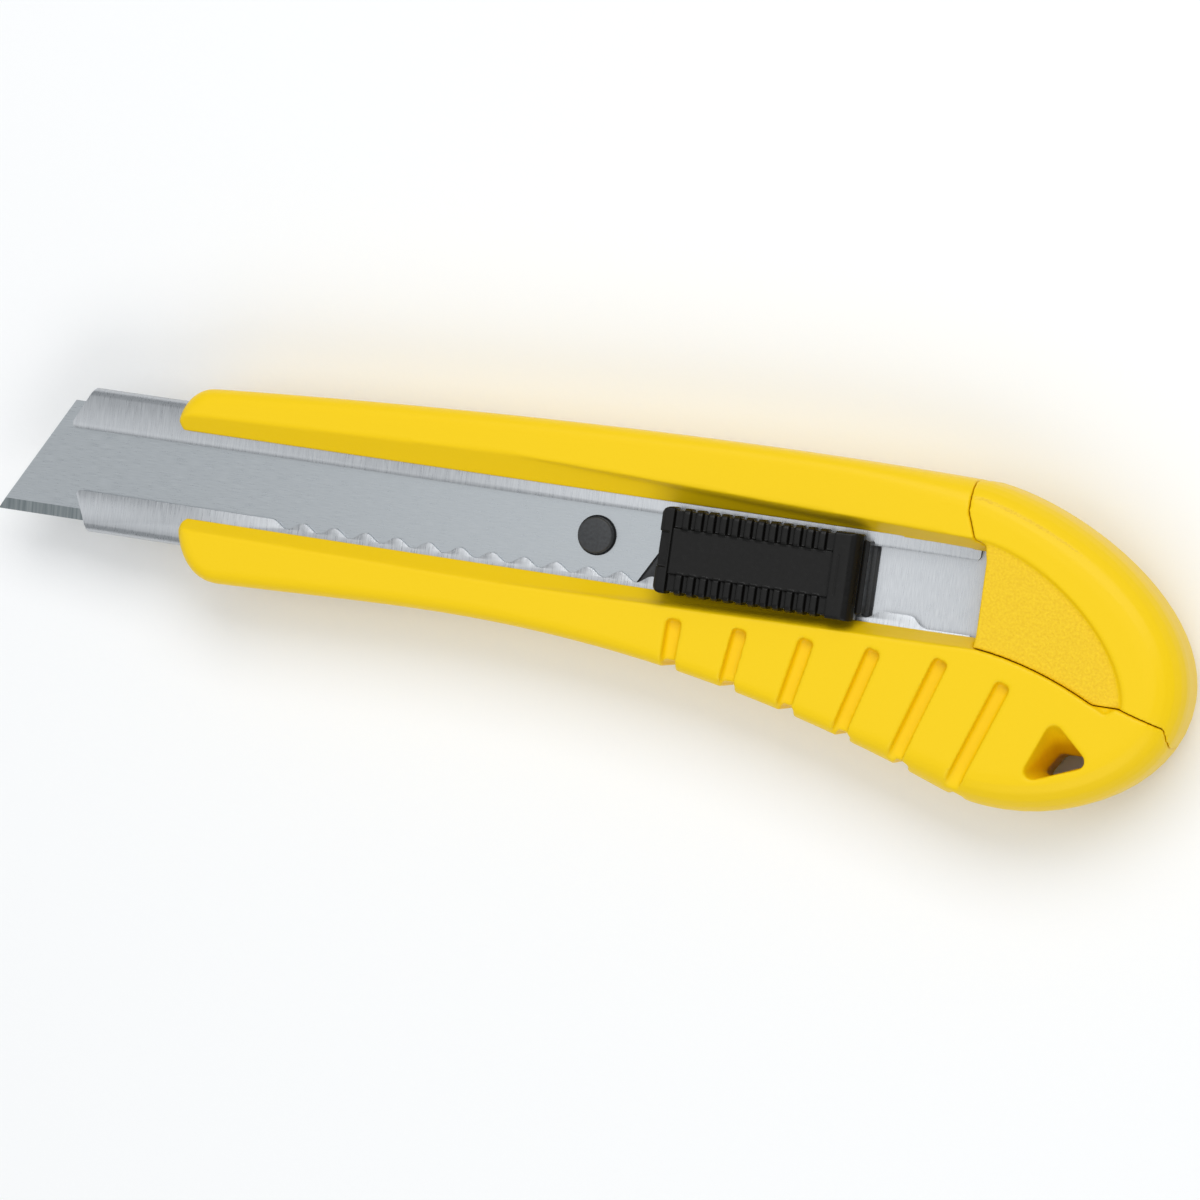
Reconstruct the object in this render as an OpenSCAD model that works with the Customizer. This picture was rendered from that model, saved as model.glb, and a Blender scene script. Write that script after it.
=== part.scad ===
// Snap-off knife with an 18 mm blade, a stainless channel and a moulded handle.
// The knife lies on its flat back, with +Z up through the slotted front and +X towards the tail.
// The origin is on the flat back, under the channel's centreline, 100 mm behind the channel's nose.

/* [Blade] */
// Width of the blade from edge to back
blade_w = 18; // [17.5:0.1:18.5]
// Thickness of the blade
blade_t = 0.5; // [0.4:0.05:0.6]
// Distance from one snap line to the next
snap_pitch = 10; // [8:0.5:12]
// Number of segments, the tang's included
segments = 8; // [6:1:8]
// Angle between a snap line and the cutting edge
snap_angle = 60; // [55:1:65]
// Height of the ground bevel along the cutting edge
edge_bevel = 1.7; // [1.2:0.1:2.2]
// Diameter of the hole that takes the carrier's peg
blade_hole_d = 6; // [5.8:0.1:6.4]

/* [Channel] */
// Outside width of the steel channel
channel_w = 21.8; // [21.4:0.1:21.8]
// Outside height of the steel channel
channel_h = 3.5; // [3.4:0.05:3.6]
// Thickness of its sheet
sheet_t = 0.7; // [0.6:0.05:0.8]
// Outside radius of its two bends
bend_r = 1.3; // [1:0.1:1.5]
// Distance from one lock tooth to the next
tooth_pitch = 5; // [4.5:0.5:5]
// Depth of the lock teeth
tooth_depth = 1.2; // [1:0.1:1.3]

/* [Handle] */
// Height of the front face at the nose
nose_front = 14; // [13.6:0.1:14.4]
// Height of the front face at the tail
tail_front = 16.9; // [16.4:0.1:17.2]
// Height of the back face at the nose, where it tapers up from the flat
nose_back = 5; // [4:0.5:5.5]
// Radius that rounds the edges at the nose
nose_round = 2.2; // [1.8:0.1:2.4]
// Radius that rounds the edges at the tail
tail_round = 5.5; // [4:0.5:6]
// Gap at the seam between the handle and the end cap
seam_gap = 0.15; // [0.1:0.05:0.2]
// Width of the knuckle grooves
groove_w = 2.2; // [1.8:0.1:2.4]
// Depth of the knuckle grooves below the front face
groove_depth = 1.6; // [1.2:0.1:2]

/* [Slide] */
// Width of the thumb button across its ribbed edges
button_w = 12.8; // [12.4:0.1:13]
// Height of the button's crown above the steel channel
button_h = 5.9; // [5.4:0.1:6.2]
// Distance between the ribs along the button's edges
rib_pitch = 1.86; // [1.8:0.02:1.9]
// Play of the button on its carrier to each side of the locked place
button_play = 1; // [0.8:0.1:1.2]
// Diameter of the peg that holds the blade
peg_d = 5.4; // [5.2:0.1:5.6]

/* [Hidden] */
$fn = 48;
far = 200;
fit_gap = 0.05;

// Levels through the thickness
blade_z = 11;                                  // front face of the blade
lip_z = blade_z + 0.8;                         // front face of the channel's lips
channel_z = lip_z - channel_h;                 // back face of the channel
pocket_z = channel_z - fit_gap;
notch_z = 3;                                   // lower end of the notches in the lower edge
rail_z = lip_z + fit_gap;                      // underside of the handle's rails

// Places along and across the knife
blade_edge_y = -9.35;
tip_x = -113;
snap_run = 1 / tan(snap_angle);
tang_x = tip_x + snap_pitch * (segments + 2);
peg_x = -18;
slot_end_x = 41.4;
slot_top_y = 5.4;
slot_low_y = -6;
lip_end_x = 39.7;
channel_end_x = 46;
teeth_start_x = -68.6;
lip_top_y = 4.5;
lip_low_y = -4.8;
lip_step_x = 30.2;
lip_step_y = -6.4;
tail_x = 72.5;
nose_x = -85.2;

function bezier(a, b, c, d, n) = [for (i = [0:n - 1]) let (t = i / n, u = 1 - t)
    u * u * u * a + 3 * u * u * t * b + 3 * u * t * t * c + t * t * t * d];

// Outline of the handle seen from the front, from the nose to the tail, above and below the slot
nose_point = [-82.6, 0];
tail_point = [tail_x, -11];
upper_edge = concat(
    [nose_point],
    bezier([-83.6, 5.3], [-84.2, 6.2], [-84.8, 7], [-85.2, 7.8], 3),
    bezier([-85.2, 7.8], [-84.9, 10.5], [-83, 13.2], [-80, 13.3], 8),
    bezier([-80, 13.3], [-40, 16], [0, 17.2], [40, 16], 24),
    bezier([40, 16], [53, 14.2], [tail_x, 3], tail_point, 22));
lower_edge = concat(
    [nose_point],
    bezier([-80.5, -5.9], [-82, -6.1], [-83, -7.2], [-83, -8.5], 3),
    bezier([-83, -8.5], [-82.4, -12], [-80, -15.7], [-76, -15.7], 8),
    bezier([-76, -15.7], [-64, -15.4], [-52, -14.7], [-40, -14.7], 8),
    bezier([-40, -14.7], [-12, -14.8], [15, -20], [37, -28.2], 20),
    bezier([37, -28.2], [41, -29.8], [44, -30.4], [48, -30.4], 5),
    bezier([48, -30.4], [60, -30.4], [tail_x, -22.5], tail_point, 13));
half = len(upper_edge);
outline = concat(
    upper_edge,
    [tail_point],
    [for (i = [half - 1:-1:1]) lower_edge[i]]);
count = len(outline);

function outward(i) =
    let (a = outline[(i + count - 1) % count], b = outline[(i + 1) % count], d = b - a)
    [-d[1], d[0]] / norm(d);
function along(x) = (x - nose_x) / (tail_x - nose_x);
function front_z(x) = nose_front + (tail_front - nose_front) * along(x);
function back_z(x) = x > -25 ? 0 : nose_back * pow((-25 - x) / (-25 - nose_x), 1.5);
function blend(x) = let (t = min(1, max(0, (x - 15) / 40))) t * t * (3 - 2 * t);
function edge_r(x) = nose_round + (tail_round - nose_round) * blend(x);
function inset(i, d) = outline[i] - outward(i) * d;
function back_ring(a) = [for (i = [0:count - 1]) let (r = edge_r(outline[i][0]),
    p = inset(i, r * (1 - sin(a)))) [p[0], p[1], back_z(p[0]) + r * (1 - cos(a))]];
function front_ring(a) = [for (i = [0:count - 1]) let (r = edge_r(outline[i][0]),
    p = inset(i, r * (1 - cos(a)))) [p[0], p[1], front_z(p[0]) - r * (1 - sin(a))]];

module shell() {
    rings = [for (a = [0:15:90]) back_ring(a), for (a = [0:15:90]) front_ring(a)];
    last = len(rings) - 1;
    points = [for (ring = rings) each ring];
    walls = [for (k = [0:last - 1], i = [0:count - 1]) let (j = (i + 1) % count)
        each [[k * count + i, k * count + j, (k + 1) * count + i],
            [k * count + j, (k + 1) * count + j, (k + 1) * count + i]]];
    back = [for (i = [0:half - 1]) let (p = i, q = i + 1, r = (count - i - 1) % count, s = (count - i) % count)
        each [if (i > 0) [p, s, q], if (q != r) [q, s, r]]];
    base = last * count;
    front = [for (f = back) [f[0] + base, f[2] + base, f[1] + base]];
    polyhedron(points, concat(walls, back, front));
}

// Level of the sunken panel, a little below the front face at its middle
panel_z = front_z(52) - 0.7;

// Part of the shell that belongs to the end cap, grown by d at the seam
module cap_region(d) {
    seam = concat(
        [[far, 60], [38 - d, 60], [38 - d, 11.4], [39.4 - d, 7.6], [41 - d, 7]],
        [[slot_end_x - d, 4.4], [slot_end_x - d, -6]],
        bezier([41.2 - d, -7.8 - d], [47.5, -8.4 - d], [54, -10.6 - d], [59.4, -13.3 - d], 8),
        [[59.4, -13.3 - d], [63.4, -13.3 - d], [70, -15.2 - d], [71, -19.2 - d], [far, -19.6 - d]]);
    translate([0, 0, -1]) linear_extrude(40) polygon(seam);
}

// Slot between the rails, with a bevel along each side that ends on the front face
module slot() {
    hull() {
        slot_section(nose_x - 10, 8.2, -7.8);
        slot_section(slot_end_x + 5, 7.3, -7.9);
    }
}

// The bevels pass through upper_y and lower_y at the front face, and run on above it
module slot_section(x, upper_y, lower_y) {
    above = 3;
    z = rail_z + above * (front_z(x) - rail_z);
    translate([x, 0, 0]) rotate([90, 0, 90]) linear_extrude(0.01)
        polygon([[slot_low_y, lip_z - 0.5], [slot_top_y, lip_z - 0.5], [slot_top_y, rail_z],
            [slot_top_y + above * (upper_y - slot_top_y), z],
            [slot_low_y + above * (lower_y - slot_low_y), z], [slot_low_y, rail_z]]);
}

module channel_pocket() {
    translate([-far, -channel_w / 2 - fit_gap, pocket_z])
        cube([far + channel_end_x + 1, channel_w + 2 * fit_gap, rail_z - pocket_z]);
}

// Six grooves for the knuckles, which lean further back towards the tail, and end in small
// notches where they run out over the lower edge
module knuckle_grooves() {
    tilts = [2, 8, 12, 16, 18.5, 20];
    notches = [[-3.6, -17.4], [5.7, -19.2], [14.9, -21.2], [23.7, -23.7], [32.7, -26.6], [41.1, -30]];
    for (i = [0:5]) {
        x = i < 5 ? -3.4 + 10.1 * i : 46.5;
        y = i < 5 ? -10.3 : -12.3;
        translate([x, y, front_z(x) - groove_depth]) rotate(-tilts[i]) groove(25, 0.6);
        translate([notches[i][0], notches[i][1], notch_z]) rotate(-tilts[i])
            translate([-groove_w / 2, -1.2, 0]) cube([groove_w, 2.2, 20]);
    }
}

// A groove that runs down from its rounded top
module groove(length, r) {
    side = groove_w / 2 - r;
    for (x = [-side, side]) translate([x, -r, 0]) cylinder(h = 20, r = r);
    translate([-side, -length, 0]) cube([2 * side, length, 20]);
    translate([-groove_w / 2, -length, 0]) cube([groove_w, length - r, 20]);
}

// Rounded three-sided hole for a lanyard or a hook, narrowest half way through
module hanging_hole() {
    waist_z = 8.4;
    waist = [[54.9, -21.9], [58.4, -22], [53.5, -24.1]];
    front_mouth = [[54.7, -18.1], [58.5, -21.6], [52.3, -24]];
    rear_mouth = [[54.6, -22.8], [58.8, -22.4], [53.2, -25]];
    for (mouth = [[16.6, front_mouth, 1.2], [-0.5, rear_mouth, 0.8]]) hull() {
        translate([0, 0, mouth[0]]) linear_extrude(0.5) hole_outline(mouth[1], mouth[2]);
        translate([0, 0, waist_z - 0.25]) linear_extrude(0.5) hole_outline(waist, 0.6);
    }
}

module hole_outline(corners, r) {
    for (c = corners) translate(c) circle(r, $fn = 24);
    polygon(corners);
}

// Tongue of the end cap, which slides into a pocket under the channel
tongue = [12, 15.6, 3.6];
tongue_z = 3.4;

module handle_body() {
    color("gold") difference() {
        shell();
        channel_pocket();
        slot();
        cap_region(seam_gap);
        knuckle_grooves();
        hanging_hole();
        panel_corner();
        translate([slot_end_x - 30, -tongue[1] / 2 - fit_gap, tongue_z - fit_gap])
            cube([60, tongue[1] + 2 * fit_gap, tongue[2] + 2 * fit_gap]);
    }
}

module end_cap() {
    color("gold") {
        difference() {
            intersection() {
                shell();
                cap_region(0);
            }
            translate([0, -channel_w / 2 - 0.2, channel_z - 0.2])
                cube([channel_end_x + 0.3, channel_w + 0.4, channel_h + 0.4]);
            cap_panel();
        }
        translate([slot_end_x - tongue[0], -tongue[1] / 2, tongue_z])
            cube([tongue[0] + 2, tongue[1], tongue[2]]);
    }
}

// Corner of the cap's sunken panel that lies in the handle
module panel_corner() {
    translate([0, 0, panel_z]) linear_extrude(10)
        polygon([[59.2, -13.2], [61.6, -14.4], [63.3, -13.1]]);
}

// Sunken panel in the front of the cap
module cap_panel() {
    edge = concat(
        [[30, 7.2], [40.5, 7.2]],
        bezier([40.5, 7.2], [50, 6], [62.6, -4], [63.3, -13.1], 12),
        [[63.3, -13.1], [61.6, -14.4]],
        bezier([61.6, -14.4], [55, -11], [48, -8.4], [41.2, -8], 8),
        [[30, -8]]);
    translate([0, 0, panel_z]) linear_extrude(10) polygon(edge);
}

// Steel channel, folded from sheet, with lock teeth along its lower lip
module blade_channel() {
    color("silver") difference() {
        rotate([90, 0, 90]) translate([0, 0, -104]) linear_extrude(104 + channel_end_x)
            channel_section();
        channel_nose(-102.4, -99.5, 1);
        channel_nose(-100.3, -97.9, -1);
        translate([lip_end_x, -channel_w / 2 + sheet_t + 0.3, lip_z - sheet_t - 0.1])
            cube([20, channel_w - 2 * sheet_t - 0.6, 2]);
        lock_teeth();
    }
}

module channel_section() {
    difference() {
        rounded_box(channel_w, channel_h, bend_r, channel_z);
        rounded_box(channel_w - 2 * sheet_t, channel_h - 2 * sheet_t, bend_r - sheet_t, channel_z + sheet_t);
        translate([lip_low_y, lip_z - sheet_t - 0.4]) square([lip_top_y - lip_low_y, 3]);
    }
}

module rounded_box(w, h, r, z) {
    translate([-w / 2 + r, z]) square([w - 2 * r, h]);
    translate([-w / 2, z + r]) square([w, h - 2 * r]);
    for (x = [-w / 2 + r, w / 2 - r], y = [z + r, z + h - r]) translate([x, y]) circle(r);
}

// Cuts one half of the channel's nose back, slanting away from the slot
module channel_nose(inner_x, outer_x, side) {
    translate([0, 0, channel_z - 1]) linear_extrude(channel_h + 2)
        polygon([[-120, 0], [inner_x, 0], [inner_x, side * 5.4], [outer_x, side * 11], [-120, side * 11]]);
}

// Cuts the wave of lock teeth into the lower lip, and steps the lip back behind them
module lock_teeth() {
    last = 95;
    wave = [for (i = [0:last]) let (x = teeth_start_x + i)
        [x, lip_low_y - tooth_depth / 2 * (1 - cos(360 * (x - 1.5) / tooth_pitch))]];
    step = concat(
        bezier([lip_step_x, lip_low_y], [lip_step_x + 1.8, lip_low_y], [lip_step_x + 1.2, lip_step_y],
            [lip_step_x + 3.4, lip_step_y], 6),
        [[lip_step_x + 3.4, lip_step_y], [lip_end_x + 5, lip_step_y]]);
    translate([0, 0, lip_z - sheet_t - 0.2]) linear_extrude(2)
        polygon(concat(wave, step, [[lip_end_x + 5, 0], [teeth_start_x, 0]]));
}

// Blade with a ground cutting edge and a snap line across the front at every pitch
module blade() {
    top_y = blade_edge_y + blade_w;
    color("lightsteelblue") difference() {
        intersection() {
            rotate([90, 0, 90]) translate([0, 0, -120]) linear_extrude(240)
                polygon([[blade_edge_y, blade_z - blade_t / 2], [blade_edge_y + edge_bevel, blade_z],
                    [top_y, blade_z], [top_y, blade_z - blade_t],
                    [blade_edge_y + edge_bevel, blade_z - blade_t]]);
            translate([0, 0, blade_z - 2]) linear_extrude(4)
                polygon([[tip_x, blade_edge_y], [tip_x + snap_run * blade_w, top_y],
                    [tang_x + snap_run * blade_w, top_y], [tang_x, blade_edge_y]]);
        }
        translate([peg_x, 0, 0]) cylinder(h = 30, d = blade_hole_d);
        for (i = [1:segments - 1])
            translate([tip_x + snap_pitch * i, blade_edge_y, blade_z - 0.15]) rotate(snap_angle)
                translate([-2, -0.1, 0]) cube([blade_w * 2, 0.2, 1]);
    }
}

// Carrier that holds the blade on its peg and fills the channel behind the tang
module blade_carrier() {
    plate_z = channel_z + sheet_t + 0.1;
    plate_top = blade_z - blade_t - fit_gap;
    block_top = lip_z - sheet_t - 0.1;
    neck_top = lip_z + 3.4;
    color("dimgray") {
        translate([peg_x - 6, -9.9, plate_z]) cube([50, 19.8, plate_top - plate_z]);
        translate([peg_x, 0, plate_z]) cylinder(h = blade_z + 0.9 - plate_z, d = peg_d);
        translate([peg_x, 0, blade_z + 0.9]) cylinder(h = 0.4, d1 = peg_d, d2 = peg_d - 0.8);
        translate([0, 0, plate_z]) linear_extrude(block_top - plate_z)
            polygon([[tang_x + 0.4 - 0.55 * snap_run, -9.9], [tang_x + 0.4 + 19.25 * snap_run, 9.9],
                [26, 9.9], [26, -9.9]]);
        difference() {
            translate([-2.5, -3, block_top - 0.5]) cube([22, 7, neck_top - block_top + 0.5]);
            for (x = [-1, 17]) translate([x - 0.4, -4, block_top]) cube([0.9, 2, 1.2]);
        }
    }
}

// Formed steel strip on edge, whose tooth rests between two teeth of the lower lip
module lock_spring() {
    t = 0.35;
    tooth_x = 9;
    outer = [[-1.2, -3.5], [5, -4.1], [tooth_x - 1.4, -4.4], [tooth_x - 0.2, -5.6], [tooth_x + 0.2, -5.6],
        [tooth_x + 1.4, -4.4], [13, -4.1], [17.2, -3.5]];
    inner = [for (i = [7:-1:0]) outer[i] + [0, t + (i == 3 || i == 4 ? 0.15 : 0)]];
    color("slategray") translate([0, 0, lip_z - sheet_t + 0.05]) linear_extrude(0.7) {
        polygon(concat(outer, inner));
        for (x = [-1.2, 16.85]) translate([x, -3.5]) square([t, 1.2]);
    }
}

// Thumb button, which rides over the channel's lips and slips on the carrier's neck
module slide_button() {
    base_z = lip_z + 0.15;
    crown_z = lip_z + button_h;
    low_y = -6.8;
    top_y = low_y + button_w;
    rib_start_x = -4.9;
    ribs = 12;
    color([0.07, 0.07, 0.075]) difference() {
        union() {
            translate([-7, -5.6, base_z]) cube([31, 10.7, 2.6]);
            translate([-7, low_y + 0.35, lip_z + 2.6]) cube([29.5, button_w - 0.7, button_h - 3.2]);
            translate([-6.6, low_y + 1, lip_z + 2.6]) cube([28.7, button_w - 2, button_h - 2.6]);
            for (i = [1:ribs]) translate([rib_start_x + rib_pitch * i - 0.5, low_y, lip_z + 2.6])
                cube([1, button_w, button_h - 3]);
            translate([-7, low_y, lip_z + 2.6]) cube([7 + rib_start_x, button_w, button_h - 3.2]);
            translate([19.3, low_y, lip_z + 2.6]) cube([3.2, button_w, button_h - 3.2]);
        }
        translate([-2.5 - button_play - 0.1, -3.2, base_z - 1])
            cube([22.2 + 2 * button_play, 7.4, 4.6]);
        translate([-2.5, -4.9, base_z - 1]) cube([21, 2, 1.1]);
    }
}

handle_body();
end_cap();
blade_channel();
blade();
blade_carrier();
slide_button();
lock_spring();
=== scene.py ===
import math

import bpy
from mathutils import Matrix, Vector


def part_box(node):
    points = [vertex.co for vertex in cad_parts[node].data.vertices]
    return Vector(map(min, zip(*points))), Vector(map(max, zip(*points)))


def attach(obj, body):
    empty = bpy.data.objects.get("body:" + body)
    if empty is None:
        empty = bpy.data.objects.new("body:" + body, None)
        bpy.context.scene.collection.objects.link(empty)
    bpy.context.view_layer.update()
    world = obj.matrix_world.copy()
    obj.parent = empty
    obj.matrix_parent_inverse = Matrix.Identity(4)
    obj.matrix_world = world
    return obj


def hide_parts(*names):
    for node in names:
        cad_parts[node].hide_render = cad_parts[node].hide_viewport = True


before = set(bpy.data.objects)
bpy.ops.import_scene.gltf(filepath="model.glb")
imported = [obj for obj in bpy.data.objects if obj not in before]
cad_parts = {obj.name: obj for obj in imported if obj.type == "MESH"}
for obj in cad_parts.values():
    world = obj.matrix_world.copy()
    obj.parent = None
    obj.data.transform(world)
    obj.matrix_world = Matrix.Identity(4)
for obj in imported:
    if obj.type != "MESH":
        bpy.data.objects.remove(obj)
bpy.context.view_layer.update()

mm = 0.001

# ---------------------------------------------------------------------------------------------
# Studio: a long lens looks down on the knife's front, from a little towards its tail.
# The knife lies on a pale floor, in an even room with four wide, soft lamps.
aim = Vector((-0.0162, -0.0094, 0.011))
distance = 0.7367
camera_turn = (math.radians(-0.467), math.radians(16.418), math.radians(8.24))
bpy.ops.object.camera_add(location=aim, rotation=camera_turn)
camera = bpy.context.object
camera.name = "camera"
camera.data.lens = 150
camera.data.sensor_width = 36
camera.location = aim + camera.rotation_euler.to_matrix() @ Vector((0, 0, distance))
bpy.context.scene.camera = camera


def lamp(name, place, size, power):
    bpy.ops.object.light_add(type="AREA", location=place)
    light = bpy.context.object
    light.name = name
    light.data.shape = "RECTANGLE"
    light.data.size, light.data.size_y = size
    light.data.energy = power
    light.rotation_euler = (aim - Vector(place)).to_track_quat("-Z", "Y").to_euler()


lamp("lamp_above", (0.12, 0.55, 0.75), (0.8, 0.5), 4.3)
lamp("lamp_left", (-0.75, -0.05, 0.55), (0.4, 0.8), 0.7)
lamp("lamp_over", (-0.06, 0, 1.0), (0.62, 0.7), 1.2)
lamp("lamp_front", (0.25, -0.6, 0.6), (0.8, 0.4), 2.0)

room = bpy.data.worlds.new("room")
room.use_nodes = True
room.node_tree.nodes["Background"].inputs["Color"].default_value = (0.93, 0.97, 1, 1)
room.node_tree.nodes["Background"].inputs["Strength"].default_value = 0.45
bpy.context.scene.world = room
bpy.context.scene.view_settings.view_transform = "Standard"


def nodes_of(name, colour, metallic, roughness):
    """A new material with its shader's plain values set, and what links its nodes."""
    material = bpy.data.materials.new(name)
    material.use_nodes = True
    tree = material.node_tree
    shader = tree.nodes["Principled BSDF"]
    shader.inputs["Base Color"].default_value = (*colour, 1)
    shader.inputs["Metallic"].default_value = metallic
    shader.inputs["Roughness"].default_value = roughness
    return material, tree, shader


def noise_on(tree, scale, detail=3, stretch=(1, 1, 1)):
    """Noise in the piece's own coordinates; scale counts its grains to a metre."""
    place = tree.nodes.new("ShaderNodeTexCoord")
    mapping = tree.nodes.new("ShaderNodeMapping")
    mapping.inputs["Scale"].default_value = stretch
    noise = tree.nodes.new("ShaderNodeTexNoise")
    noise.inputs["Scale"].default_value = scale
    noise.inputs["Detail"].default_value = detail
    tree.links.new(place.outputs["Object"], mapping.inputs["Vector"])
    tree.links.new(mapping.outputs["Vector"], noise.inputs["Vector"])
    return noise


def ramp_on(tree, source, stops):
    """A colour ramp on a source's factor; stops are pairs of place and colour."""
    ramp = tree.nodes.new("ShaderNodeValToRGB")
    for i, (place, colour) in enumerate(stops):
        stop = ramp.color_ramp.elements[i] if i < 2 else ramp.color_ramp.elements.new(place)
        stop.position = place
        stop.color = (*colour, 1)
    tree.links.new(source, ramp.inputs["Fac"])
    return ramp


def bump_on(tree, shader, source, depth, strength=1.0, under=None):
    """A bump of that depth in metres from a source's factor, over another bump if there is one."""
    bump = tree.nodes.new("ShaderNodeBump")
    bump.inputs["Strength"].default_value = strength
    bump.inputs["Distance"].default_value = depth
    tree.links.new(source, bump.inputs["Height"])
    if under:
        tree.links.new(under.outputs["Normal"], bump.inputs["Normal"])
    tree.links.new(bump.outputs["Normal"], shader.inputs["Normal"])
    return bump


bpy.ops.object.select_all(action="DESELECT")
bpy.ops.mesh.primitive_plane_add(size=6, location=(0, 0, -0.2 * mm))
floor = bpy.context.object
floor.name = "floor"
paper, paper_tree, paper_shader = nodes_of("pale_paper", (0.93, 0.93, 0.93), 0, 0.8)
paper_grain = noise_on(paper_tree, 900)
bump_on(paper_tree, paper_shader, paper_grain.outputs["Fac"], 0.02 * mm)
floor.data.materials.append(paper)

# ---------------------------------------------------------------------------------------------
# Handle: one yellow ABS moulding with a fine texture. It holds the steel channel behind two
# bevelled rails, and has six knuckle grooves and a hanging hole. Every edge is softly rounded.
nose_x, tail_x = -85.2, 72.5
nose_front, tail_front = 14.0, 16.9
handle_grain = 0.3


def front_z(x):
    return nose_front + (tail_front - nose_front) * (x - nose_x) / (tail_x - nose_x)


def active(piece):
    bpy.ops.object.select_all(action="DESELECT")
    piece.select_set(True)
    bpy.context.view_layer.objects.active = piece


def pick_vertices(piece, test):
    """Opens the piece in edit mode with only the vertices that pass the test selected."""
    active(piece)
    bpy.ops.object.mode_set(mode="EDIT")
    bpy.ops.mesh.select_mode(type="VERT")
    bpy.ops.mesh.select_all(action="DESELECT")
    bpy.ops.object.mode_set(mode="OBJECT")
    for vertex in piece.data.vertices:
        vertex.select = test(vertex)
    bpy.ops.object.mode_set(mode="EDIT")


def copy_of(node, name):
    """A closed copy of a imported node, with its loose triangles merged."""
    active(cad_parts[node])
    bpy.ops.object.duplicate()
    piece = bpy.context.object
    piece.name = name
    piece.parent = None
    piece.data.materials.clear()
    pick_vertices(piece, lambda v: True)
    bpy.ops.mesh.remove_doubles(threshold=0.001 * mm)
    bpy.ops.mesh.normals_make_consistent(inside=False)
    bpy.ops.object.mode_set(mode="OBJECT")
    return piece


def soften(piece, grain, budget, passes):
    """Rebuilds the piece at one fine grain, so that every edge gets the small round of a moulding."""
    active(piece)
    step = piece.modifiers.new("step", "REMESH")
    step.mode = "VOXEL"
    step.voxel_size = grain * mm * 1
    bpy.ops.object.modifier_apply(modifier=step.name)
    step = piece.modifiers.new("step", "SMOOTH")
    step.factor = 0.5
    step.iterations = passes
    bpy.ops.object.modifier_apply(modifier=step.name)
    triangles = sum(len(face.vertices) - 2 for face in piece.data.polygons)
    if triangles > budget:
        step = piece.modifiers.new("step", "DECIMATE")
        step.ratio = budget / triangles
        bpy.ops.object.modifier_apply(modifier=step.name)
    bpy.ops.object.shade_smooth()


handle = copy_of("handle_body", "handle_body_moulding")
soften(handle, handle_grain, 190000, 5)

abs_yellow, tree, shader = nodes_of("yellow_abs", (0.9, 0.6, 0.003), 0, 0.4)
shader.inputs["IOR"].default_value = 1.5
shader.inputs["Specular IOR Level"].default_value = 0.22
fine = noise_on(tree, 2600, 2)
bump_on(tree, shader, fine.outputs["Fac"], 0.03 * mm, 0.6)
handle.data.materials.append(abs_yellow)
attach(handle, "handle")
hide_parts("handle_body")

# ---------------------------------------------------------------------------------------------
# End cap: the same yellow ABS. Its front has a sunken panel with a fine stipple, and a tongue
# under the channel holds it in the handle. It pulls off to the rear.
panel_level = front_z(52) - 0.7


def curve_points(a, b, c, d, count):
    a, b, c, d = map(Vector, (a, b, c, d))
    steps = [i / count for i in range(count)]
    return [(1 - t) ** 3 * a + 3 * (1 - t) ** 2 * t * b + 3 * (1 - t) * t * t * c + t ** 3 * d for t in steps]


def arc(centre, radius, first, last, steps):
    """Points on an arc in the order of its angles, in degrees."""
    turns = [math.radians(first + (last - first) * k / steps) for k in range(steps + 1)]
    return [(centre[0] + radius * math.cos(t), centre[1] + radius * math.sin(t)) for t in turns]


def prism(name, points, low, high, along="Z"):
    """A closed prism over an outline, from one level to another along an axis, in millimetres."""
    place = {"X": lambda u, v, w: (w, u, v), "Y": lambda u, v, w: (u, w, v), "Z": lambda u, v, w: (u, v, w)}[along]
    bpy.ops.object.select_all(action="DESELECT")
    bpy.ops.mesh.primitive_circle_add(vertices=len(points), radius=1, fill_type="NGON")
    shape = bpy.context.object
    shape.name = name
    for vertex, (u, v) in zip(shape.data.vertices, points):
        vertex.co = Vector(place(u, v, low)) * mm
    bpy.ops.object.mode_set(mode="EDIT")
    bpy.ops.mesh.select_all(action="SELECT")
    bpy.ops.mesh.extrude_region_move(TRANSFORM_OT_translate={"value": Vector(place(0, 0, high - low)) * mm})
    bpy.ops.mesh.select_all(action="SELECT")
    bpy.ops.mesh.normals_make_consistent(inside=False)
    bpy.ops.object.mode_set(mode="OBJECT")
    return shape


def block(name, low, high):
    """A closed box between two corners, in millimetres."""
    corners = [(low[0], low[1]), (high[0], low[1]), (high[0], high[1]), (low[0], high[1])]
    return prism(name, corners, low[2], high[2])


def tapered(name, low_outline, high_outline, low, high):
    """An upright prism whose upper outline differs from its lower one, point for point."""
    shape = prism(name, low_outline, low, high)
    middle = (low + high) / 2 * mm
    for vertex in [vertex for vertex in shape.data.vertices if vertex.co.z > middle]:
        nearest = min(range(len(low_outline)), key=lambda i: (vertex.co.xy / mm - Vector(low_outline[i])).length)
        vertex.co.xy = Vector(high_outline[nearest]) * mm
    pick_vertices(shape, lambda v: True)
    bpy.ops.mesh.quads_convert_to_tris()
    bpy.ops.object.mode_set(mode="OBJECT")
    return shape


def combine(piece, tool, operation):
    """Cuts, joins or crosses the piece with a tool, which is then thrown away."""
    active(piece)
    step = piece.modifiers.new("step", "BOOLEAN")
    step.operation = operation
    step.solver = "EXACT"
    step.object = tool
    bpy.ops.object.modifier_apply(modifier=step.name)
    bpy.data.objects.remove(tool)


def cut(piece, tool):
    combine(piece, tool, "DIFFERENCE")


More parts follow.
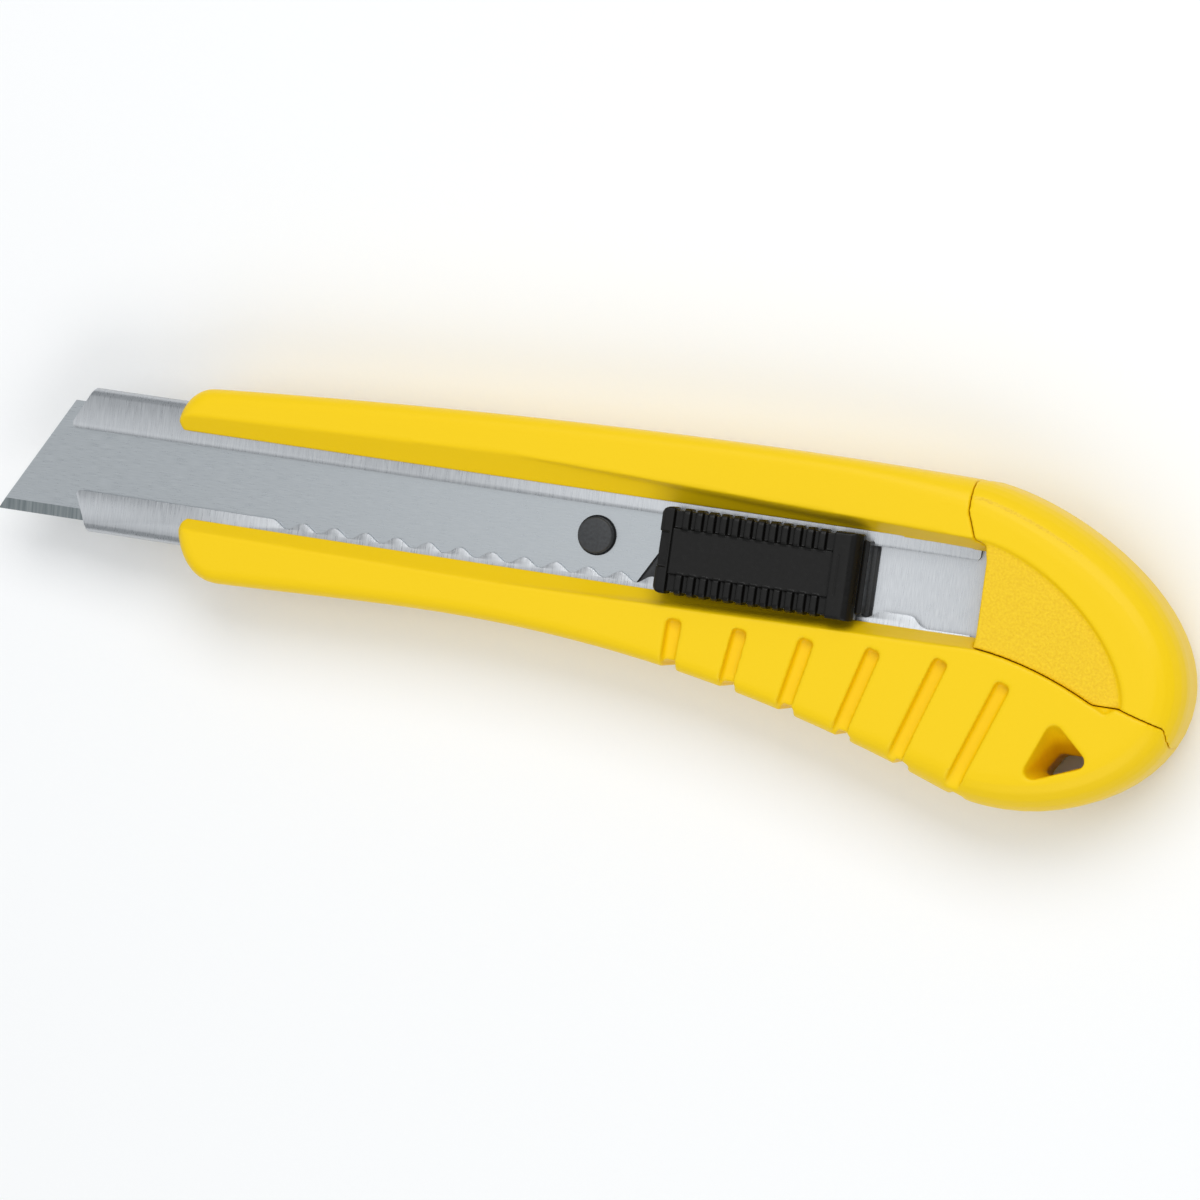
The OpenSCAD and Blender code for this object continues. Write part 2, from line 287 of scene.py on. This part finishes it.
def panel_outline(spread):
    """The panel's edge: straight along the slot, and curved where the rim's wall rises."""
    rim = curve_points((40.5, 7.3 + spread), (50, 6 + spread), (62.6 + spread, -4), (63.3 + spread, -13.1), 24)
    return ([(36, 7.3 + spread)] + [tuple(point) for point in rim]
            + [(63.3 + spread, -13.1), (61.6, -14.4 - spread), (36, -14.4 - spread)])


cap = copy_of("end_cap", "end_cap_moulding")
cut(cap, tapered("panel_cut", panel_outline(0.05), panel_outline(1.6), panel_level + 0.03, panel_level + 1.8))
soften(cap, 0.25, 150000, 4)

stippled, tree, shader = nodes_of("stippled_abs", (0.86, 0.56, 0.006), 0, 0.5)
shader.inputs["Specular IOR Level"].default_value = 0.35
stipple = noise_on(tree, 2600, 2)
bump_on(tree, shader, stipple.outputs["Fac"], 0.1 * mm, 0.8)
tint = ramp_on(tree, stipple.outputs["Fac"], ((0.3, (0.8, 0.5, 0.003)), (0.7, (0.9, 0.6, 0.008))))
tree.links.new(tint.outputs["Color"], shader.inputs["Base Color"])
cap.data.materials.append(abs_yellow)
cap.data.materials.append(stippled)
for face in cap.data.polygons:
    sunken = abs(face.center.z / mm - panel_level) < 0.12 and face.normal.z > 0.9
    face.material_index = 1 if sunken else 0
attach(cap, "tail_cap")
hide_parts("end_cap")

# ---------------------------------------------------------------------------------------------
# Blade channel: one strip of 0.7 mm stainless sheet, folded round into two lips. Lock teeth are
# stamped along the lower lip, and its grain runs across. It is moulded fast in the handle.
sheet = 0.7
bend = 1.3
lip_upper, lip_lower = 4.5, -4.8
lip_end = 39.7
tooth_pitch, tooth_depth = 5, 1.2
teeth_start, teeth_end = -68.6, 26.4
channel_low, channel_high = (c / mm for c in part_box("blade_channel"))
bends = [(-channel_high.y + bend, channel_high.z - bend), (-channel_high.y + bend, channel_low.z + bend),
         (channel_high.y - bend, channel_low.z + bend), (channel_high.y - bend, channel_high.z - bend)]
section = [(lip_lower, channel_high.z)]
for k, centre in enumerate(bends):
    section += arc(centre, bend, 90 + 90 * k, 180 + 90 * k, 6)
section += [(lip_upper, channel_high.z), (lip_upper, channel_high.z - sheet)]
for k, centre in reversed(list(enumerate(bends))):
    section += arc(centre, bend - sheet, 180 + 90 * k, 90 + 90 * k, 6)
section += [(lip_lower, channel_high.z - sheet)]
channel = prism("blade_channel_folded", section, -104, channel_high.x, along="X")
cut(channel, prism("front_cut", [(-120, -12), (-97.47, -12), (-100.3, -5.4), (-100.3, -0.5), (-102.4, 0.5),
                                 (-102.4, 5.4), (-98.98, 12), (-120, 12)], 0, 20))
cut(channel, block("lip_end_cut", (lip_end, channel_low.y + 1, channel_high.z - sheet - 0.1),
                   (60, channel_high.y - 1, 20)))
corner = 0.7
lips = (channel_high.z - sheet - 0.2, channel_high.z + 0.2)
for x, y, side, first in ((-102.4, lip_upper, 1, 1), (-100.3, lip_lower, -1, 1), (lip_end, lip_upper, 1, -1)):
    centre = (x + first * corner, y + side * corner)
    rounding = arc((0, 0), corner, 270, 180, 5)
    outline_cut = [(x - first * 0.1, y - side * 0.1), (centre[0], y - side * 0.1)]
    outline_cut += [(centre[0] + first * u, centre[1] + side * v) for u, v in rounding]
    outline_cut += [(x - first * 0.1, centre[1])]
    cut(channel, prism("corner_cut", outline_cut, *lips))
wave = []
for k in range(int((teeth_end - teeth_start) / 0.25) + 1):
    x = teeth_start + 0.25 * k
    wave.append((x, lip_lower - tooth_depth / 2 * (1 - math.cos(2 * math.pi * (x - 1.5) / tooth_pitch))))
step_down = [tuple(p) for p in curve_points((30.2, lip_lower), (32, lip_lower), (31.4, -6.4), (33.6, -6.4), 8)]
teeth_cut = wave + step_down + [(33.6, -6.4), (lip_end + 5, -6.4), (lip_end + 5, 0), (teeth_start, 0)]
cut(channel, prism("teeth_cut", teeth_cut, *lips))


def bevel_edges(piece, width, corner_angle=35, segments=2):
    """Breaks every sharp edge with a small round, in millimetres."""
    active(piece)
    step = piece.modifiers.new("step", "BEVEL")
    step.width = width * mm
    step.segments = segments
    step.limit_method = "ANGLE"
    step.angle_limit = math.radians(corner_angle)
    bpy.ops.object.modifier_apply(modifier=step.name)
    bpy.ops.object.shade_smooth_by_angle(angle=math.radians(40))


bevel_edges(channel, 0.05)


def brushed(name, dark, light, roughness, grain, depth):
    """Steel with a drawn grain: dark and light streaks and a fine bump along them."""
    steel, tree, shader = nodes_of(name, light, 1, roughness)
    streaks = noise_on(tree, 1, 4, grain)
    tint = ramp_on(tree, streaks.outputs["Fac"], ((0.35, dark), (0.65, light)))
    tree.links.new(tint.outputs["Color"], shader.inputs["Base Color"])
    gloss = ramp_on(tree, streaks.outputs["Fac"], ((0.3, (roughness - 0.04,) * 3), (0.7, (roughness + 0.05,) * 3)))
    tree.links.new(gloss.outputs["Color"], shader.inputs["Roughness"])
    bump_on(tree, shader, streaks.outputs["Fac"], depth * mm, 0.6)
    return steel


channel.data.materials.append(brushed("brushed_stainless", (0.45, 0.465, 0.485), (0.55, 0.565, 0.585), 0.3,
                                      (7000, 420, 7000), 0.0012))
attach(channel, "handle")
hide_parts("blade_channel")

# ---------------------------------------------------------------------------------------------
# Blade: an 18 mm strip of carbon steel, satin ground along its length. Its edge is bevelled, and
# seven V-shaped lines are scored across the front. A hole in its tang drops over the peg.
blade_low, blade_high = (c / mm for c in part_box("blade"))
edge_y, spine_y, face_z = blade_low.y, blade_high.y, blade_high.z
thick = blade_high.z - blade_low.z
bevel_top = edge_y + 1.7
lean = 1 / math.tan(math.radians(60))
tip_x = blade_low.x
tang_x = tip_x + 100
peg_x = -18
blade = prism("blade_strip", [(edge_y, face_z - thick / 2), (bevel_top, face_z), (spine_y, face_z),
                              (spine_y, face_z - thick), (bevel_top, face_z - thick)], -120, 20, along="X")
past = 1
combine(blade, prism("blade_ends", [(tip_x - lean * past, edge_y - past), (tang_x - lean * past, edge_y - past),
                                    (tang_x + lean * (spine_y + past - edge_y), spine_y + past),
                                    (tip_x + lean * (spine_y + past - edge_y), spine_y + past)], 5, 15), "INTERSECT")
cut(blade, prism("peg_hole_cut", arc((peg_x, 0), 3, 0, 350, 35), 5, 15))
score_width, score_depth = 0.18, 0.12
score_across = Vector((math.sin(math.radians(60)), -math.cos(math.radians(60)), 0))
for k in range(1, 8):
    middle = Vector((tip_x + 10 * k, edge_y, face_z))
    for offset in (-score_width / 2, 0, score_width / 2):
        pick_vertices(blade, lambda v: True)
        bpy.ops.mesh.bisect(plane_co=(middle + score_across * offset) * mm, plane_no=score_across)
        bpy.ops.object.mode_set(mode="OBJECT")
    for vertex in blade.data.vertices:
        aside = abs((vertex.co / mm - middle).dot(score_across))
        if aside < 0.01 and vertex.co.z / mm > face_z - 0.01:
            vertex.co.z -= score_depth * mm

blade.data.materials.append(brushed("satin_blade_steel", (0.4, 0.425, 0.445), (0.45, 0.475, 0.495), 0.3,
                                    (420, 8000, 8000), 0.0006))
blade.data.materials.append(brushed("ground_edge_steel", (0.22, 0.25, 0.26), (0.34, 0.37, 0.38), 0.4,
                                    (2600, 90, 90), 0.002))
# The walls of the seven score lines are coloured near-black: painted shade in the grooves, not a different steel.
blade.data.materials.append(nodes_of("score_groove_painted_shade", (0.05, 0.055, 0.06), 1, 0.6)[0])
blade.data.update()
# Faces across the blade's length take the painted shade of the score lines; faces turned down at the edge take the
# ground finish.
for face in blade.data.polygons:
    if abs(face.normal.dot(score_across)) > 0.4 and abs(face.normal.z) > 0.3:
        face.material_index = 2
    elif face.normal.y < -0.1 and abs(face.normal.z) > 0.3:
        face.material_index = 1
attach(blade, "carrier")
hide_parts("blade")

# ---------------------------------------------------------------------------------------------
# Blade carrier: a black moulding that slides in the channel. Its thin plate lies under the
# blade, its peg holds the tang, and its neck passes up between the lips into the thumb button.
plate_z = channel_low.z + sheet + 0.1
plate_top = face_z - thick - 0.05
block_top = channel_high.z - sheet - 0.1
neck_top = channel_high.z + 3.4
carrier = block("blade_carrier_moulding", (peg_x - 6, -9.9, plate_z), (24.4, 9.9, plate_top))
combine(carrier, prism("rear_block", [(tang_x + 0.4 - 0.55 * lean, -9.9), (24.3, -9.9), (24.3, 9.9),
                                      (tang_x + 0.4 + 19.25 * lean, 9.9)], plate_z + 0.01, block_top), "UNION")
combine(carrier, block("neck", (-2.5, -3, block_top - 0.5), (19.5, 4, neck_top)), "UNION")
bevel_edges(carrier, 0.12)
peg = prism("blade_peg", arc((peg_x, 0), 2.7, 0, 352.5, 47), plate_top - 0.5, face_z + 1.3)
pick_vertices(peg, lambda v: v.co.z / mm > face_z + 1)
bpy.ops.mesh.bevel(offset=0.35 * mm, segments=3)
bpy.ops.object.mode_set(mode="OBJECT")
combine(carrier, peg, "UNION")
bpy.ops.object.shade_smooth_by_angle(angle=math.radians(35))

matte_black, tree, shader = nodes_of("matte_black_nylon", (0.03, 0.032, 0.035), 0, 0.55)
grit = noise_on(tree, 2200, 3)
tint = ramp_on(tree, grit.outputs["Fac"], ((0.3, (0.022, 0.023, 0.026)), (0.7, (0.036, 0.039, 0.043))))
tree.links.new(tint.outputs["Color"], shader.inputs["Base Color"])
bump_on(tree, shader, grit.outputs["Fac"], 0.05 * mm, 0.7)
carrier.data.materials.append(matte_black)
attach(carrier, "carrier")
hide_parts("blade_carrier")

# ---------------------------------------------------------------------------------------------
# Lock spring: a formed strip of spring steel, on edge under the thumb button. Its tooth rests
# between two lock teeth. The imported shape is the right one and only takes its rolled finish.
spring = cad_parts["lock_spring"]
spring.data.materials.clear()
spring.data.materials.append(brushed("rolled_spring_steel", (0.2, 0.21, 0.24), (0.38, 0.39, 0.43), 0.3,
                                     (200, 2400, 2400), 0.004))

# ---------------------------------------------------------------------------------------------
# Thumb button: a black semi-gloss moulding that rides on the channel's lips. Ribs for the thumb
# run along both of its sides, between two end blocks, and its middle is a plain, flat panel.
button_low, button_high = (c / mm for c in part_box("slide_button"))
base_top = button_low.z + 2.7
rib_top = button_high.z - 0.1
valley = button_high.z - 0.95
panel_top = button_high.z - 0.5
body_end = 23.2
rib_first, rib_last, rib_count = -4.9, 19.3, 12
side_low, side_high = button_low.y, button_high.y
button = block("slide_button_moulding", (button_low.x, -5.6, button_low.z), (button_high.x, 5.1, base_top))
body = block("button_body", (button_low.x + 0.1, side_low + 0.45, base_top - 0.3), (body_end, side_high - 0.45, valley))
combine(button, body, "UNION")
combine(button, block("button_panel", (-5.3, side_low + 3.05, base_top), (19.6, side_high - 3.05, panel_top)), "UNION")


def end_block(name, start, end):
    return prism(name, [(side_low + 0.02, base_top - 0.2), (side_high - 0.02, base_top - 0.2)]
                 + arc((side_high - 0.52, button_high.z - 0.52), 0.5, 0, 90, 4)
                 + arc((side_low + 0.52, button_high.z - 0.52), 0.5, 90, 180, 4), start, end, along="X")


combine(button, end_block("front_block", button_low.x + 0.02, rib_first), "UNION")
cut(button, block("front_step", (-8, -2.9, button_high.z - 1.5), (-5.3, 2.3, 20)))
combine(button, end_block("rear_block", rib_last, body_end), "UNION")
cut(button, block("rear_groove", (20.1, -3.3, panel_top + 0.2), (20.35, 2.6, 20)))

rib_pitch = (rib_last - rib_first) / (rib_count + 1)
for side in (-1, 1):
    outer = side_low + 0.02 if side < 0 else side_high - 0.02
    inner = outer - side * 3.3
    low_corner = [(outer, base_top - 0.2), (outer, rib_top - 0.7)]
    crown = [(outer - side * 0.35, rib_top - 0.15), (outer - side * 0.8, rib_top)]
    inner_end = [(inner + side * 0.4, rib_top), (inner, rib_top - 0.4), (inner, base_top - 0.2)]
    rib = prism("rib", low_corner + crown + inner_end, rib_first + rib_pitch - 0.5, rib_first + rib_pitch + 0.5,
                along="X")
    active(rib)
    row = rib.modifiers.new("row", "ARRAY")
    row.count = rib_count
    row.use_relative_offset = False
    row.use_constant_offset = True
    row.constant_offset_displace = (rib_pitch * mm, 0, 0)
    bpy.ops.object.modifier_apply(modifier=row.name)
    combine(button, rib, "UNION")

# The end blocks are rounded in plan, and the rear one slopes down to the base.
plan = (arc((button_low.x + 1.6, side_low + 1.5), 1.5, 270, 192, 6) + [(button_low.x + 0.05, -0.4)]
        + arc((button_low.x + 1.6, side_high - 1.5), 1.5, 168, 90, 6)
        + arc((button_high.x - 1.4, side_high - 1.3), 1.3, 90, 0, 6)
        + arc((button_high.x - 1.4, side_low + 1.3), 1.3, 0, -90, 6))
combine(button, prism("button_plan", plan[::-1], 0, 30), "INTERSECT")
profile = ([(button_low.x - 1, 0), (button_high.x + 1, 0), (button_high.x + 1, base_top - 0.9)]
           + [(button_high.x, base_top - 0.2), (23.7, base_top + 0.5), (23.2, 15.9), (22.9, 16.7),
              (22.4, button_high.z - 0.35), (21.7, button_high.z - 0.08), (21, button_high.z)]
           + [(button_low.x + 0.7, button_high.z), (button_low.x + 0.25, button_high.z - 0.4), (button_low.x, button_high.z - 1.2)]
           + [(button_low.x - 1, button_high.z - 1.2)])
combine(button, prism("button_profile", profile, -20, 20, along="Y"), "INTERSECT")
cut(button, block("neck_pocket", (-3.6, -3.2, button_low.z - 1), (20.6, 4.2, button_low.z + 3.6)))
cut(button, block("spring_room", (-2.5, -4.9, button_low.z - 1), (18.5, -2.9, button_low.z + 0.1)))
soften(button, 0.12, 160000, 3)

semi_gloss, tree, shader = nodes_of("semi_gloss_black_abs", (0.004, 0.0036, 0.0032), 0, 0.32)
shader.inputs["Specular IOR Level"].default_value = 0.22
skin = noise_on(tree, 1400, 3)
gloss = ramp_on(tree, skin.outputs["Fac"], ((0.3, (0.26,) * 3), (0.7, (0.38,) * 3)))
tree.links.new(gloss.outputs["Color"], shader.inputs["Roughness"])
bump_on(tree, shader, skin.outputs["Fac"], 0.025 * mm, 0.5)
button.data.materials.append(semi_gloss)
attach(button, "button")
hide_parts("slide_button")
